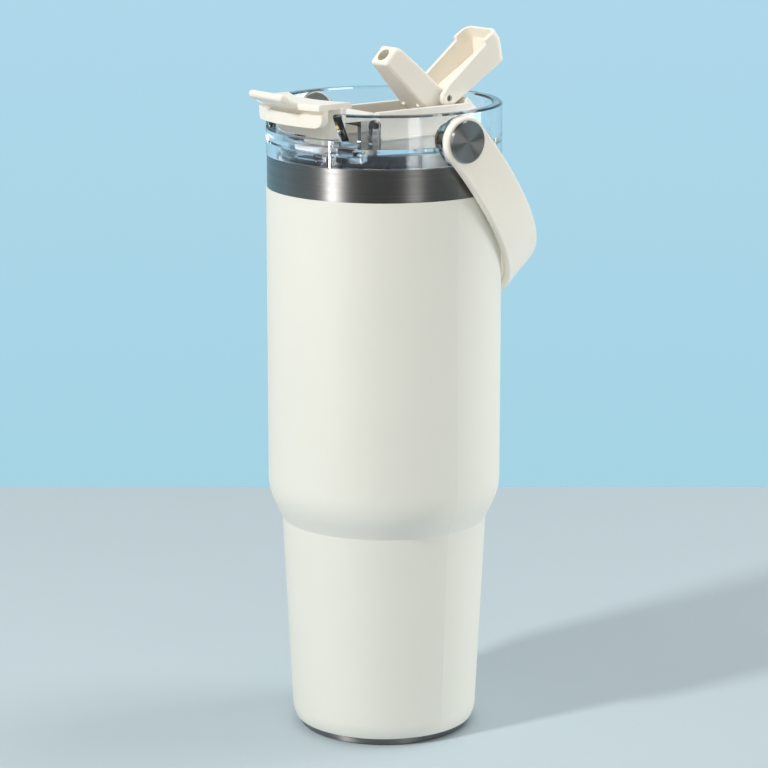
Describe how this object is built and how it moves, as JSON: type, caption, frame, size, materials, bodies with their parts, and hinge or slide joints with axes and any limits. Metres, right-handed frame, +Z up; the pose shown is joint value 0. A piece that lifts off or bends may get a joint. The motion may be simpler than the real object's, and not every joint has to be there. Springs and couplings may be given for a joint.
{
  "type": "insulated water bottle",
  "caption": "Insulated steel bottle with a narrower lower part, clear screw lid, flip-up straw spout under a folding hood, flip sip cover and a swinging carry handle.",
  "frame": {"origin": "centre of the resting face of the base", "axes": "+Z up along the bottle, -Y towards the sip opening, X through the handle pivots"},
  "size_m": [0.1034, 0.1199, 0.2771],
  "materials": {
    "powder_coat": "warm off-white powder coat, satin, fine even grain",
    "brushed_steel": "bare stainless steel, brushed round the neck",
    "inner_steel": "bare stainless steel, electropolished inside",
    "base_steel": "stainless disc with a circular brush",
    "solder": "dull grey glass solder",
    "getter": "dark matt getter alloy",
    "clear_lid": "clear copolyester, polished, thick edges",
    "clear_tube": "clear tube, slightly hazy",
    "cream_plastic": "ivory moulded polypropylene, satin",
    "washer_plastic": "white slippery plastic",
    "silicone": "translucent white silicone",
    "pin_steel": "turned stainless steel",
    "brass": "knurled brass insert",
    "cap_steel": "stainless cap, radial sunburst brush"
  },
  "bodies": {
    "bottle": {"outer_shell": "brushed_steel", "powder_coat": "powder_coat", "inner_liner": "inner_steel", "outer_bottom": "brushed_steel", "base_disc": "base_steel", "vacuum_seal_bead": "solder", "getter_capsule": "getter"},
    "lid_seal": {"lid_seal_ring": "silicone"},
    "lid": {"lid_shell": "clear_lid", "straw_cradle": "cream_plastic", "vent_valve": "silicone", "straw_gasket": "silicone", "straw_socket": "clear_tube", "straw": "clear_tube", "sip_hinge_pin": "pin_steel", "pivot_inserts": "brass", "handle_washers": "washer_plastic", "handle_screws": "pin_steel"},
    "sip_cover": {"sip_cover": "cream_plastic", "sip_plug": "silicone"},
    "nozzle": {"nozzle": "cream_plastic", "hood_pin": "pin_steel"},
    "hood": {"hood": "cream_plastic"},
    "handle": {"handle": "cream_plastic", "handle_caps": "cap_steel"}
  },
  "joints": [
    {"name": "lid_lift", "type": "slide", "parent": "bottle", "child": "lid_seal", "axis": [0, 0, 1], "range_m": [0, 0.24]},
    {"name": "lid_turn", "type": "hinge", "parent": "lid_seal", "child": "lid", "pos_m": [0, 0, 0.2415], "axis": [0, 0, 1], "range_deg": [0, 60]},
    {"name": "sip_cover_flip", "type": "hinge", "parent": "lid", "child": "sip_cover", "pos_m": [0, -0.0192, 0.246], "axis": [-1, 0, 0], "range_deg": [0, 70]},
    {"name": "nozzle_flip", "type": "hinge", "parent": "lid", "child": "nozzle", "pos_m": [0, 0.026, 0.2447], "axis": [1, 0, 0], "range_deg": [0, 43.5]},
    {"name": "hood_flip", "type": "hinge", "parent": "nozzle", "child": "hood", "pos_m": [0, 0.0248, 0.25179], "axis": [1, 0, 0], "range_deg": [0, 104.9]},
    {"name": "handle_swing", "type": "hinge", "parent": "lid", "child": "handle", "pos_m": [0, 0, 0.2415], "axis": [1, 0, 0], "range_deg": [0, 277]}
  ]
}
